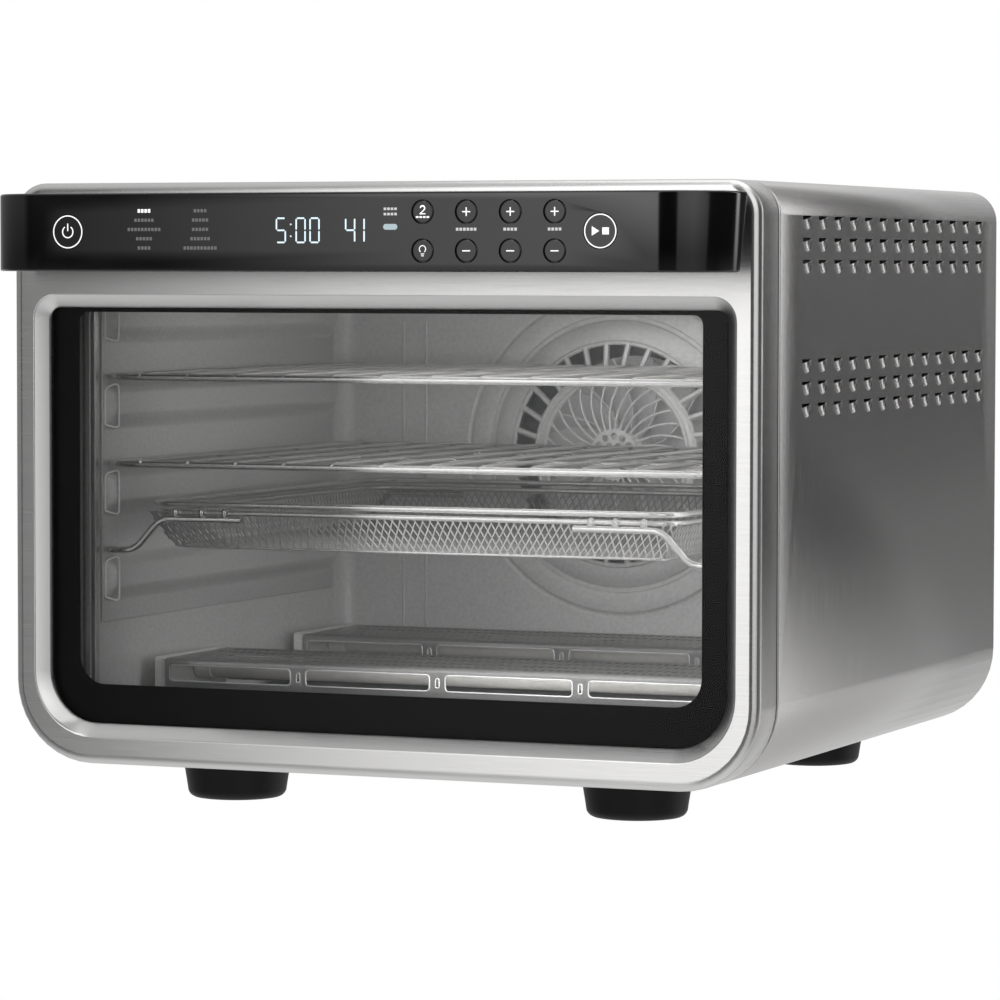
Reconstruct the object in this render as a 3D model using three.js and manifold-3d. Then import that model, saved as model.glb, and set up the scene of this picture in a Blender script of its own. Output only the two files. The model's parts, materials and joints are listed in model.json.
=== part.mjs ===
// A countertop toaster oven: a steel wrap round a heated cavity, a drop-down glass door that carries the
// control bar, sliding racks, an air-fry basket, quartz heaters and a convection fan.
// Millimetres, X to the right, Z up, the front faces -Y. Inside the assembly, Y is the depth behind the
// door's front sheet, so the control bar has negative depths.
import * as THREE from 'three';
import { mergeVertices } from 'three/addons/utils/BufferGeometryUtils.js';
import Module from 'manifold-3d';

const wasm = await Module();
wasm.setup();

// Driving dimensions
const WIDTH = 434;
const HEIGHT = 341;
const DEPTH = 513;
const HALF = WIDTH / 2;
const BASE = 23.5; // underside of the steel body above the table
const TOP_RADIUS = 20;
const BOTTOM_RADIUS = 45;
const SHEET = 1.2;
const LINER = 1;
const GAP = 0.3;

const BAR_FRONT = -48;
const DOOR_BACK = 28.2;
const HOUSING_FRONT = 31;
const HOUSING_BACK = 423.5;
const REAR_END = BAR_FRONT + DEPTH;

const GLASS_HALF = 196.8;
const GLASS_BOTTOM = 45.6;
const GLASS_TOP = 273.3;
const CHAMFER = 6.6;
const GLASS_TOP_RADIUS = 6;
const GLASS_BOTTOM_RADIUS = 28;

const CAVITY_HALF = 185.5;
const CAVITY_FLOOR = 45;
const CAVITY_ROOF = 285;
const CAVITY_BACK = 361;
const FAN_Z = 183;

const HINGE_X = 165;
const HINGE_DEPTH = 22;
const HINGE_Z = 29;

const RIB_PITCH = 48.1;
const RIB_HEIGHT = 27.6;
const LOWEST_RIB = 108.3;
const RIB_REACH = 178; // half the clear width between facing ribs

// Colours, as [colour, roughness, metalness]
const FINISHES = {
  brushed_steel: [0xb9b8b5, 0.34, 1],
  liner_steel: [0x8d8c8a, 0.42, 1],
  chrome_wire: [0xd0d0d0, 0.18, 1],
  zinc_steel: [0x9a9c9e, 0.45, 1],
  black_gloss: [0x0b0b0c, 0.08, 0],
  black_plastic: [0x1c1c1c, 0.55, 0],
  black_glass: [0x101113, 0.03, 0],
  clear_glass: [0xdfe6e6, 0.02, 0],
  quartz: [0xe6e2da, 0.2, 0],
  rubber: [0x151515, 0.8, 0],
  silicone: [0x3a3a3a, 0.7, 0],
  circuit_board: [0x1f4d2e, 0.6, 0],
  display: [0x141820, 0.2, 0],
  aluminium: [0xa9abad, 0.4, 1],
};
const materials = Object.fromEntries(
  Object.entries(FINISHES).map(([name, [color, roughness, metalness]]) => [
    name,
    new THREE.MeshStandardMaterial({ name, color, roughness, metalness }),
  ]),
);

// --- Basic shapes -------------------------------------------------------------------------------

function box(x0, x1, y0, y1, z0, z1) {
  const block = new THREE.BoxGeometry(x1 - x0, y1 - y0, z1 - z0);
  return block.translate((x0 + x1) / 2, (y0 + y1) / 2, (z0 + z1) / 2);
}

function rodX(radius, x0, x1, y, z, sides = 12) {
  const rod = new THREE.CylinderGeometry(radius, radius, x1 - x0, sides);
  return rod.rotateZ(Math.PI / 2).translate((x0 + x1) / 2, y, z);
}

function rodY(radius, y0, y1, x, z, sides = 24) {
  return new THREE.CylinderGeometry(radius, radius, y1 - y0, sides).translate(x, (y0 + y1) / 2, z);
}

function coneZ(topRadius, bottomRadius, z0, z1, x, y, sides = 24) {
  const cone = new THREE.CylinderGeometry(topRadius, bottomRadius, z1 - z0, sides);
  return cone.rotateX(Math.PI / 2).translate(x, y, (z0 + z1) / 2);
}

function arc(cx, cy, radiusX, radiusY, startDegrees, endDegrees, steps) {
  return Array.from({ length: steps + 1 }, (_, i) => {
    const angle = THREE.MathUtils.degToRad(startDegrees + ((endDegrees - startDegrees) * i) / steps);
    return new THREE.Vector2(cx + radiusX * Math.cos(angle), cy + radiusY * Math.sin(angle));
  });
}

// A rectangle with round corners, anticlockwise from the bottom right corner.
function roundedOutline(x0, x1, z0, z1, topRadius, bottomRadius, steps = 5) {
  return [
    ...arc(x1 - bottomRadius, z0 + bottomRadius, bottomRadius, bottomRadius, -90, 0, steps),
    ...arc(x1 - topRadius, z1 - topRadius, topRadius, topRadius, 0, 90, steps),
    ...arc(x0 + topRadius, z1 - topRadius, topRadius, topRadius, 90, 180, steps),
    ...arc(x0 + bottomRadius, z0 + bottomRadius, bottomRadius, bottomRadius, 180, 270, steps),
  ];
}

// The oven's own cross-section, drawn inwards by inset.
function bodyOutline(inset) {
  return roundedOutline(
    -HALF + inset,
    HALF - inset,
    BASE + inset,
    HEIGHT - inset,
    TOP_RADIUS - inset,
    BOTTOM_RADIUS - inset,
  );
}

// The door's glass opening, grown outwards by grow.
function glassOutline(grow) {
  return roundedOutline(
    -GLASS_HALF - grow,
    GLASS_HALF + grow,
    GLASS_BOTTOM - grow,
    GLASS_TOP + grow,
    GLASS_TOP_RADIUS + grow,
    GLASS_BOTTOM_RADIUS + grow,
  );
}

function extrude(points, depth, holes = []) {
  const shape = new THREE.Shape(points);
  shape.holes = holes.map((hole) => new THREE.Path(hole));
  return new THREE.ExtrudeGeometry(shape, { depth, bevelEnabled: false });
}

// An X-Z outline run from depth y0 to y1.
function slab(points, y0, y1, holes) {
  return extrude(points, y1 - y0, holes).rotateX(Math.PI / 2).translate(0, y1, 0);
}

// A Y-Z section run from x0 to x1.
function sectionX(points, x0, x1) {
  const turn = new THREE.Matrix4().makeBasis(
    new THREE.Vector3(0, 1, 0),
    new THREE.Vector3(0, 0, 1),
    new THREE.Vector3(1, 0, 0),
  );
  const vectors = points.map(([y, z]) => new THREE.Vector2(y, z));
  return extrude(vectors, x1 - x0).applyMatrix4(turn).translate(x0, 0, 0);
}

// A body between two X-Z outlines with equally many points, the first at the smaller depth.
function loft(front, y0, back, y1) {
  const count = front.length;
  const at = (points, y) => points.flatMap((p) => [p.x, y, p.y]);
  const cap = THREE.ShapeUtils.triangulateShape(front, []);
  const index = cap.flatMap(([a, b, c]) => [a, b, c, a + count, c + count, b + count]);
  for (let i = 0; i < count; i += 1) {
    const next = (i + 1) % count;
    index.push(i, i + count, next, next, i + count, next + count);
  }
  const geometry = new THREE.BufferGeometry();
  const corners = [...at(front, y0), ...at(back, y1)];
  geometry.setAttribute('position', new THREE.Float32BufferAttribute(corners, 3));
  return geometry.setIndex(index);
}

// --- Joining and cutting ------------------------------------------------------------------------

function toSolid(geometry) {
  const bare = geometry.clone();
  bare.deleteAttribute('normal');
  bare.deleteAttribute('uv');
  const merged = mergeVertices(bare);
  const vertProperties = new Float32Array(merged.attributes.position.array);
  const triVerts = new Uint32Array(merged.index.array);
  return new wasm.Manifold(new wasm.Mesh({ numProp: 3, vertProperties, triVerts }));
}

function toGeometry(solid) {
  const mesh = solid.getMesh();
  const geometry = new THREE.BufferGeometry();
  geometry.setAttribute('position', new THREE.BufferAttribute(mesh.vertProperties, 3));
  geometry.setIndex(new THREE.BufferAttribute(mesh.triVerts, 1));
  geometry.computeVertexNormals();
  return geometry;
}

const join = (...pieces) => toGeometry(pieces.map(toSolid).reduce((a, b) => a.add(b)));
const cut = (piece, ...tools) =>
  toGeometry(tools.map(toSolid).reduce((a, b) => a.subtract(b), toSolid(piece)));
const common = (a, b) => toGeometry(toSolid(a).intersect(toSolid(b)));

// --- The assembly -------------------------------------------------------------------------------

const oven = new THREE.Group();
oven.position.y = -(BAR_FRONT + REAR_END) / 2;
const body = new THREE.Group();
const door = new THREE.Group();
oven.add(body, door);

function place(group, name, finish, geometry) {
  const mesh = new THREE.Mesh(geometry, materials[finish]);
  mesh.name = name;
  group.add(mesh);
}

const SIDES = [['left', -1], ['right', 1]];
const mirror = (side, a, b) => (side < 0 ? [-b, -a] : [a, b]);

// --- Outer case ---------------------------------------------------------------------------------

function makeCase() {
  const bottomHalf = 168;
  const wrap = cut(
    slab(bodyOutline(0), HOUSING_FRONT, HOUSING_BACK),
    slab(bodyOutline(SHEET), HOUSING_FRONT - 1, HOUSING_BACK + 1),
    box(-bottomHalf, bottomHalf, HOUSING_FRONT - 1, HOUSING_BACK + 1, BASE - 1, BASE + 5),
  );
  place(body, 'outer_housing', 'brushed_steel', wrap);

  const plateHalf = bottomHalf - 2 * GAP;
  const plate = box(-plateHalf, plateHalf, HOUSING_FRONT, HOUSING_BACK, BASE, BASE + SHEET);
  place(body, 'bottom_plate', 'zinc_steel', plate);

  const inside = bodyOutline(SHEET + GAP);
  const mouth = roundedOutline(-184.5, 184.5, 48, 282, 10, 10, 3);
  place(body, 'front_frame', 'brushed_steel', slab(inside, 34, 34 + SHEET, [mouth.reverse()]));

  const motorHole = arc(0, FAN_Z, 62, 62, 360, 15, 23);
  const rear = HOUSING_BACK - 2.5;
  place(body, 'rear_panel', 'zinc_steel', slab(inside, rear, rear + SHEET, [motorHole]));
}

function makeRearCover() {
  const front = HOUSING_BACK + GAP;
  const wall = 1.6;
  const half = 150;
  const outline = (inset) =>
    roundedOutline(-half + inset, half - inset, 70 + inset, 300 - inset, 18 - inset, 18 - inset, 3);
  const heights = Array.from({ length: 7 }, (_, row) => 120 + row * 20);
  const slots = [-90, 90].flatMap((x) =>
    heights.map((z) => box(x - 36, x + 36, REAR_END - 4, REAR_END + 1, z, z + 5)),
  );
  const glandX = 118;
  const glandDepth = 446;
  const shell = cut(
    slab(outline(0), front, REAR_END),
    slab(outline(wall), front - 1, REAR_END - wall),
    coneZ(8, 8, 68, 74, glandX, glandDepth, 16),
    ...slots,
  );
  place(body, 'rear_cover', 'black_plastic', shell);

  const flange = coneZ(11, 11, 66.7, 69.7, glandX, glandDepth, 16);
  const sleeve = coneZ(7.6, 7.6, 69, 78, glandX, glandDepth, 16);
  const cordHole = coneZ(4, 4, 60, 80, glandX, glandDepth, 12);
  place(body, 'cord_gland', 'rubber', cut(join(flange, sleeve), cordHole));
}

function makeFeet() {
  for (const [row, y] of [['front', 80], ['rear', 374]]) {
    for (const [name, side] of SIDES) {
      const x = side * 119.7;
      const flare = coneZ(30.8, 27.4, 3.5, BASE - GAP, x, y, 24);
      const pad = coneZ(27.4, 23.5, 0, 3.6, x, y, 24);
      place(body, `foot_${row}_${name}`, 'rubber', join(flare, pad));
    }
  }
}

// --- Cavity -------------------------------------------------------------------------------------

const LAMP = { x: 150, y: 255 };
const PROBE = { y: 330, z: 92 };

function makeCavity() {
  const front = 34 + SHEET + GAP;
  const outline = (grow) => {
    const half = CAVITY_HALF + grow;
    const radius = 10 + grow;
    return roundedOutline(-half, half, CAVITY_FLOOR - grow, CAVITY_ROOF + grow, radius, radius, 3);
  };
  const liner = cut(
    slab(outline(LINER), front, CAVITY_BACK + LINER),
    slab(outline(0), front - 1, CAVITY_BACK),
    rodY(70, CAVITY_BACK - 1, CAVITY_BACK + 2, 0, FAN_Z, 32),
    coneZ(13, 13, CAVITY_ROOF - 1, CAVITY_ROOF + 2, LAMP.x, LAMP.y, 16),
    rodX(3, CAVITY_HALF - 1, CAVITY_HALF + 2, PROBE.y, PROBE.z),
  );
  place(body, 'cavity_liner', 'liner_steel', liner);

  for (const [name, side] of SIDES) place(body, `rack_support_${name}`, 'liner_steel', rackSupport(side));
}

// A pressed side panel whose four ribs stand into the cavity; the racks ride in the gaps between them.
function rackSupport(side) {
  const wall = CAVITY_HALF - GAP;
  const foot = wall - LINER;
  const top = 268;
  const section = [[wall, 98], [wall, top], [foot, top]];
  for (let rib = 3; rib >= 0; rib -= 1) {
    const low = LOWEST_RIB + rib * RIB_PITCH;
    const high = Math.min(low + RIB_HEIGHT, top - 2);
    section.push([foot, high], [RIB_REACH, high - 1.5], [RIB_REACH, low + 1.5], [foot, low]);
  }
  section.push([foot, 98]);
  const points = section.map(([x, z]) => new THREE.Vector2(side * x, z));
  return slab(side < 0 ? points.reverse() : points, 45, 345);
}

function makeFan() {
  const slotCount = 28;
  const slots = Array.from({ length: slotCount }, (_, i) => {
    const middle = (i * 360) / slotCount;
    const inner = arc(0, FAN_Z, 36, 36, middle + 3.2, middle - 3.2, 1);
    const outer = arc(0, FAN_Z, 66, 66, middle - 4.2, middle + 4.2, 1);
    return [...inner, ...outer];
  });
  const rim = arc(0, FAN_Z, 81, 81, 0, 352.5, 47);
  place(body, 'fan_grille', 'liner_steel', slab(rim, CAVITY_BACK - 3.5, CAVITY_BACK - GAP, slots));

  const cupFront = CAVITY_BACK + LINER + GAP;
  const cupBack = 398;
  const cup = cut(
    rodY(78, cupFront, cupBack, 0, FAN_Z, 28),
    rodY(76.8, cupFront - 1, cupBack - SHEET, 0, FAN_Z, 28),
    rodY(7, cupBack - 3, cupBack + 1, 0, FAN_Z, 12),
  );
  place(body, 'fan_housing', 'zinc_steel', cup);

  const bladeCount = 6;
  const blades = Array.from({ length: bladeCount }, (_, i) =>
    box(6, 60, 368, 388, -1, 1)
      .rotateY((i * 2 * Math.PI) / bladeCount)
      .translate(0, 0, FAN_Z),
  );
  const rotor = join(rodY(13, 366, 390, 0, FAN_Z, 16), ...blades, rodY(4, 380, 426, 0, FAN_Z, 12));
  place(body, 'fan_blade', 'aluminium', rotor);

  const motor = cut(
    join(rodY(34, 402, 444, 0, FAN_Z, 24), box(-50, 50, 399, 403, FAN_Z - 12, FAN_Z + 12)),
    rodY(5, 398, 430, 0, FAN_Z, 12),
  );
  place(body, 'fan_motor', 'zinc_steel', motor);
}

// --- Heaters ------------------------------------------------------------------------------------

const GUARD_DEPTHS = [['front', 85], ['rear', 268]];
const GUARD_SPAN = 82;
const GUARD_BOTTOM = 57;
const GUARD_TOP = 75.2;
const GUARD_HALF = 167.5;
const LOWER_TUBE_Z = 66.8;
const HOLDER_BOTTOM = 50.3;

function makeHeaters() {
  const cutout = { half: 37.4, pitch: 84.6, bottom: 62.5, top: 71.5 };
  for (const [name, y0] of GUARD_DEPTHS) {
    const y1 = y0 + GUARD_SPAN;
    const windows = [-1.5, -0.5, 0.5, 1.5].map((step) => {
      const x = step * cutout.pitch;
      return box(x - cutout.half, x + cutout.half, y0 - 1, y1 + 1, cutout.bottom, cutout.top);
    });
    const channel = cut(
      box(-GUARD_HALF, GUARD_HALF, y0, y1, GUARD_BOTTOM, GUARD_TOP),
      box(-GUARD_HALF - 1, GUARD_HALF + 1, y0 + LINER, y1 - LINER, GUARD_BOTTOM - 1, GUARD_TOP - LINER),
      ...windows,
    );
    place(body, `heater_guard_${name}`, 'liner_steel', channel);
    const tube = rodX(5.5, -GUARD_HALF, GUARD_HALF, (y0 + y1) / 2, LOWER_TUBE_Z);
    place(body, `heater_lower_${name}`, 'quartz', tube);
  }
  for (const [name, y] of [['front', 90], ['middle', 200], ['rear', 310]]) {
    const tube = rodX(5.5, -CAVITY_HALF + 4.5, CAVITY_HALF - 4.5, y, 276);
    place(body, `heater_upper_${name}`, 'quartz', tube);
  }
  for (const [name, side] of SIDES) {
    const [x0, x1] = mirror(side, GUARD_HALF + GAP, CAVITY_HALF - 1.8);
    const holders = GUARD_DEPTHS.map(([, y0]) => {
      const middle = y0 + GUARD_SPAN / 2;
      return box(x0, x1, middle - 9, middle + 9, HOLDER_BOTTOM, LOWER_TUBE_Z + 9);
    });
    const strip = box(x0, x1, 80, 355, HOLDER_BOTTOM, HOLDER_BOTTOM + 3);
    place(body, `heater_bracket_${name}`, 'zinc_steel', join(strip, ...holders));
  }
}

function makeFittings() {
  const tray = cut(box(-176, 176, 38, 350, 45.3, 49.6), box(-174.8, 174.8, 39.2, 348.8, 46.3, 51));
  place(body, 'crumb_tray', 'zinc_steel', tray);

  const { x, y } = LAMP;
  place(body, 'lamp_lens', 'clear_glass', coneZ(17, 12, CAVITY_ROOF - 6, CAVITY_ROOF - GAP, x, y, 20));
  place(body, 'lamp_holder', 'zinc_steel', coneZ(11, 16, CAVITY_ROOF + LINER + GAP, 312, x, y, 16));
  place(body, 'temperature_probe', 'chrome_wire', rodX(2.5, 156, 195, PROBE.y, PROBE.z));

  const board = join(
    box(197.5, 199.1, 110, 310, 120, 250),
    box(199, 210, 130, 165, 200, 235),
    box(199, 212, 200, 240, 140, 185),
    box(199, 207, 262, 296, 205, 232),
  );
  place(body, 'power_board', 'circuit_board', board);
}

// --- Racks and basket ---------------------------------------------------------------------------

const RACK_HALF = 183;
const RACK_FRONT = 40;
const RACK_BACK = 346;
const WIRE = 4.4;
const shelfZ = (rib) => LOWEST_RIB + rib * RIB_PITCH + RIB_HEIGHT + GAP;

function makeRacks() {
  const crossWires = 12;
  const pitch = 29.1;
  const side = RACK_HALF - WIRE / 2;
  const first = (-pitch * (crossWires - 1)) / 2;
  const bars = [-side, ...Array.from({ length: crossWires }, (_, i) => first + i * pitch), side];
  for (const [name, rib] of [['upper', 2], ['middle', 1]]) {
    const low = shelfZ(rib);
    const gaps = bars.slice(1).map((x, i) =>
      box(bars[i] + WIRE / 2, x - WIRE / 2, RACK_FRONT + WIRE, RACK_BACK - WIRE, low - 1, low + WIRE + 1),
    );
    const plate = box(-RACK_HALF, RACK_HALF, RACK_FRONT, RACK_BACK, low, low + WIRE);
    place(body, `wire_rack_${name}`, 'chrome_wire', cut(plate, ...gaps));
  }
}

function makeBasket() {
  const half = 158;
  const bottom = 140.5;
  const rim = 166;
  const [front, back] = [40, 350];
  const shelf = shelfZ(0);
  const wings = SIDES.flatMap(([, side]) =>
    [front, back - 4].map((y) => {
      const [x0, x1] = mirror(side, half - 6, RACK_HALF);
      return box(x0, x1, y, y + 4, shelf, bottom + 1);
    }),
  );
  const hollow = box(-half + 2, half - 2, front + 2, back - 2, bottom + 2, rim + 1);
  const tub = cut(box(-half, half, front, back, bottom, rim), hollow);
  place(body, 'air_fry_basket', 'chrome_wire', join(tub, ...wings));
}

// --- Door ---------------------------------------------------------------------------------------

const HINGE_SLOT = 6.5; // half the width of the notch that clears a hinge bracket

function makeDoor() {
  const lipBack = 6.5;
  const skin = cut(
    join(
      cut(slab(bodyOutline(0), 0, DOOR_BACK), slab(bodyOutline(SHEET), SHEET, DOOR_BACK + 1)),
      loft(glassOutline(CHAMFER + SHEET), 0.5, glassOutline(SHEET), lipBack),
    ),
    loft(glassOutline(CHAMFER + 0.02), -0.02, glassOutline(-0.02), lipBack + 0.02),
    ...SIDES.map(([, side]) => {
      const x = side * HINGE_X;
      return box(x - HINGE_SLOT, x + HINGE_SLOT, 10, DOOR_BACK + 1, BASE - 1, BASE + 3);
    }),
  );
  place(door, 'door_frame', 'brushed_steel', skin);
  place(door, 'door_glass_outer', 'black_glass', slab(glassOutline(2.2), lipBack + GAP, lipBack + GAP + 4));
  const innerPane = roundedOutline(-186, 186, 57, 277, 4, 4, 2);
  place(door, 'door_glass_inner', 'clear_glass', slab(innerPane, 22.4, 26.4));

  const opening = roundedOutline(-183.5, 183.5, 60, 274, 6, 6, 3).reverse();
  const innerFrame = cut(
    slab(bodyOutline(SHEET + GAP), 26.7, DOOR_BACK, [opening]),
    ...SIDES.map(([, side]) => {
      const x = side * HINGE_X;
      return box(x - HINGE_SLOT, x + HINGE_SLOT, 26, DOOR_BACK + 1, BASE, 36);
    }),
  );
  place(door, 'door_inner_frame', 'liner_steel', innerFrame);

  const sealHole = roundedOutline(-190.5, 190.5, 44.5, 285.5, 12, 12, 3).reverse();
  const sealEdge = roundedOutline(-194.5, 194.5, 40.5, 289.5, 16, 16, 3);
  place(door, 'door_seal', 'silicone', slab(sealEdge, DOOR_BACK + GAP, 33.6, [sealHole]));
}

function makeHinges() {
  for (const [name, side] of SIDES) {
    const x = side * HINGE_X;
    const bracket = cut(
      join(
        box(x - 3, x + 3, HINGE_DEPTH, 33.7, HINGE_Z - 2.5, HINGE_Z + 3),
        rodX(3.8, x - 3, x + 3, HINGE_DEPTH, HINGE_Z, 16),
        box(x - 9, x + 9, 31.4, 33.7, 26, 39),
      ),
      rodX(2.3, x - 4, x + 4, HINGE_DEPTH, HINGE_Z, 16),
    );
    place(body, `hinge_bracket_${name}`, 'zinc_steel', bracket);

    const ears = [x - 8, x + 5].map((x0) => box(x0, x0 + 3, 2, HINGE_DEPTH + 3, 25.2, HINGE_Z + 3.5));
    const pin = rodX(2, x - 7, x + 7, HINGE_DEPTH, HINGE_Z, 16);
    const leaf = join(box(x - 8, x + 8, 1.6, 3.6, 25.2, 38.5), ...ears, pin);
    place(door, `hinge_leaf_${name}`, 'zinc_steel', leaf);
  }
}

// --- Control bar --------------------------------------------------------------------------------

const BAR_HALF = 213;
const BAR_BOTTOM = 293;
const BAR_TOP = 334.5;
const BAR_BACK_TOP = -6; // depth of the bar's back edge at its top and at its bottom
const BAR_BACK_BOTTOM = -15.5;
const BAR_WALL = 2;

const BUTTONS = [
  ['power', -157.4, 314, 9],
  ['start', 147.7, 314, 9],
  ...[49.2, 73.7, 98.2, 122.7].flatMap((x, column) => [
    [`top_${column + 1}`, x, 324, 6],
    [`bottom_${column + 1}`, x, 303.9, 6],
  ]),
];

// The bar seen from above: a flat front with a quarter ellipse at each end, drawn inwards by inset.
function barPlan(inset) {
  const endLength = 34.6;
  const endDepth = 36.5;
  const front = BAR_FRONT + inset;
  const x = BAR_HALF - endLength;
  const ends = (side, from, to) =>
    arc(side * x, front + endDepth - inset, endLength - inset, endDepth - inset, from, to, 7);
  const behind = [BAR_HALF - inset, -BAR_HALF + inset].map((cornerX) => new THREE.Vector2(cornerX, 4));
  return [...ends(-1, 180, 270), ...ends(1, 270, 360), ...behind];
}

// The bar's Y-Z section: upright front, sloping back moved by shift, drawn inwards by inset.
function barSection(inset, frontShift, backShift) {
  const slope = (BAR_BACK_TOP - BAR_BACK_BOTTOM) / (BAR_TOP - BAR_BOTTOM);
  const low = BAR_BOTTOM + inset;
  const high = BAR_TOP - inset;
  const back = (z) => BAR_BACK_BOTTOM + slope * (z - BAR_BOTTOM) + backShift;
  const front = BAR_FRONT + frontShift;
  return [[front, low], [back(low), low], [back(high), high], [front, high]];
}

function barSolid(inset, frontShift, backShift) {
  const plan = extrude(barPlan(inset), 60).translate(0, 0, BAR_BOTTOM - 10);
  return common(plan, sectionX(barSection(inset, frontShift, backShift), -HALF - 1, HALF + 1));
}

function makeControlBar() {
  const drill = BAR_FRONT + BAR_WALL + 1;
  const holes = BUTTONS.map(([, x, z, radius]) => rodY(radius + 0.35, BAR_FRONT - 1, drill, x, z));
  const shell = cut(barSolid(0, 0, 0), barSolid(BAR_WALL, BAR_WALL, 2), ...holes);
  place(door, 'control_bar_shell', 'black_gloss', shell);

  const cover = common(
    extrude(barPlan(BAR_WALL + GAP), 60).translate(0, 0, BAR_BOTTOM - 10),
    sectionX(slopingPlate(BAR_WALL + GAP, -BAR_WALL), -HALF, HALF),
  );
  place(door, 'control_bar_back', 'black_gloss', cover);

  const display = box(-48, 41, BAR_FRONT + BAR_WALL + GAP, BAR_FRONT + 6, 302, 325);
  place(door, 'display_module', 'display', display);
  place(door, 'control_board', 'circuit_board', box(-165, 165, -40.2, -38.6, 298, 328));

  for (const [name, x, z, radius] of BUTTONS) {
    place(door, `button_${name}`, 'black_gloss', rodY(radius, BAR_FRONT, -41.5, x, z));
  }

  for (const [name, side] of SIDES) {
    const [x0, x1] = mirror(side, 138, 162);
    const [, low, high] = barSection(10, 0, GAP);
    const section = [low, [-GAP, low[1]], [-GAP, high[1]], high];
    place(door, `bar_post_${name}`, 'black_gloss', sectionX(section, x0, x1));
  }
}

// A plate that lies in the bar's sloping back, thickness towards the front.
function slopingPlate(inset, thickness) {
  const [, outerLow, outerHigh] = barSection(inset, 0, 0);
  const [, innerLow, innerHigh] = barSection(inset, 0, thickness);
  return [innerLow, outerLow, outerHigh, innerHigh];
}

makeCase();
makeRearCover();
makeFeet();
makeCavity();
makeFan();
makeHeaters();
makeFittings();
makeRacks();
makeBasket();
makeDoor();
makeHinges();
makeControlBar();

export default oven;
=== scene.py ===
"""A countertop toaster oven's looks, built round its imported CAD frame.

Lengths are in millimetres until they reach Blender. A depth is a distance behind the door's front sheet, so
the control bar has negative depths; x and z are the frame's own.
"""
import json
from math import asin, cos, degrees, pi, radians, sin, sqrt

import bmesh
import bpy
from mathutils import Matrix, Vector
from mathutils.geometry import tessellate_polygon


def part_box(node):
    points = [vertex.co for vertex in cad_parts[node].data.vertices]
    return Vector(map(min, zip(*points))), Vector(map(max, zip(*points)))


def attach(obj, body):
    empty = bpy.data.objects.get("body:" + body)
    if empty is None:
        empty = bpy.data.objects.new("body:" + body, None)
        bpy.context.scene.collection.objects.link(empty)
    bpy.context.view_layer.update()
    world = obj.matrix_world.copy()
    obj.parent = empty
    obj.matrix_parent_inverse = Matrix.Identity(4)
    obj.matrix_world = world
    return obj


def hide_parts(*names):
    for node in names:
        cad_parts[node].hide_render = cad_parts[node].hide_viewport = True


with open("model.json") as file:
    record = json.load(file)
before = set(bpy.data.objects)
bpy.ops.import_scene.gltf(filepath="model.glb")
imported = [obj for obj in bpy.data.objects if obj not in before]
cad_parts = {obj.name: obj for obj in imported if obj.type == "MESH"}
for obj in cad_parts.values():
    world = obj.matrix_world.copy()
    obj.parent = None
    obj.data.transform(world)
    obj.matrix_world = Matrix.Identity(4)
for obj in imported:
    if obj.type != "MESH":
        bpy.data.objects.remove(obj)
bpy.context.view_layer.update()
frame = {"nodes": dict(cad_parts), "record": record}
MM = 0.001
DOOR_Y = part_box("door_frame")[0].y


def span(node):
    """A CAD node's lowest and highest corner in millimetres, with y as a depth."""
    low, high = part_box(node)
    origin = Vector((0, DOOR_Y, 0))
    return (low - origin) / MM, (high - origin) / MM


def centre(node):
    low, high = span(node)
    return (low + high) / 2


def add_object(name, data):
    thing = bpy.data.objects.new(name, data)
    bpy.context.scene.collection.objects.link(thing)
    return thing


# --- Camera ---

CAMERA_TURN = (22.69, 2.915, 0.089)  # degrees round to the oven's right, downwards and rolled
CAMERA_PLACE = (0.9923, DOOR_Y - 2.1994, 0.2948)
FOCAL_LENGTH = 163.6
SENSOR_WIDTH = 36


def make_camera():
    azimuth, pitch, roll = (radians(turn) for turn in CAMERA_TURN)
    ahead = Vector((-sin(azimuth), cos(azimuth), 0))
    forward = ahead * cos(pitch) - Vector((0, 0, sin(pitch)))
    level = Vector((cos(azimuth), sin(azimuth), 0))
    upright = level.cross(forward)
    right = level * cos(roll) + upright * sin(roll)
    up = upright * cos(roll) - level * sin(roll)
    data = bpy.data.cameras.new("camera")
    data.sensor_width = SENSOR_WIDTH
    data.lens = FOCAL_LENGTH
    camera = add_object("camera", data)
    turn = Matrix((right, up, -forward)).transposed().to_4x4()
    camera.matrix_world = Matrix.Translation(CAMERA_PLACE) @ turn
    bpy.context.scene.camera = camera


make_camera()


# --- Materials ---

def set_sockets(node, sockets):
    for socket, value in sockets.items():
        node.inputs[socket.replace("_", " ")].default_value = value


def new_material(name, color, roughness, metallic=0.0, **sockets):
    material = bpy.data.materials.new(name)
    material.use_nodes = True
    shader = material.node_tree.nodes["Principled BSDF"]
    basics = {"Base_Color": (*color, 1), "Roughness": roughness, "Metallic": metallic}
    set_sockets(shader, {**basics, **sockets})
    return material, shader


def add_node(tree, kind, **sockets):
    node = tree.nodes.new(kind)
    set_sockets(node, sockets)
    return node


def link(source, output, target, socket):
    source.id_data.links.new(source.outputs[output], target.inputs[socket])


def noise(tree, stretch, detail=3.0):
    """Noise over the object, with stretch in waves a metre along x, y and z."""
    place = add_node(tree, "ShaderNodeTexCoord")
    scale = add_node(tree, "ShaderNodeMapping", Scale=stretch)
    texture = add_node(tree, "ShaderNodeTexNoise", Scale=1, Detail=detail)
    link(place, "Object", scale, "Vector")
    link(scale, "Vector", texture, "Vector")
    return texture


NOISE_RANGE = (0.3, 0.7)  # nearly all of a noise value lies between these
CLOUD = (14, 14, 14)


def vary_roughness(texture, shader, low, high):
    tree = texture.id_data
    start, end = NOISE_RANGE
    ramp = add_node(tree, "ShaderNodeMapRange", From_Min=start, From_Max=end, To_Min=low, To_Max=high)
    link(texture, "Fac", ramp, "Value")
    link(ramp, "Result", shader, "Roughness")


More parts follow.
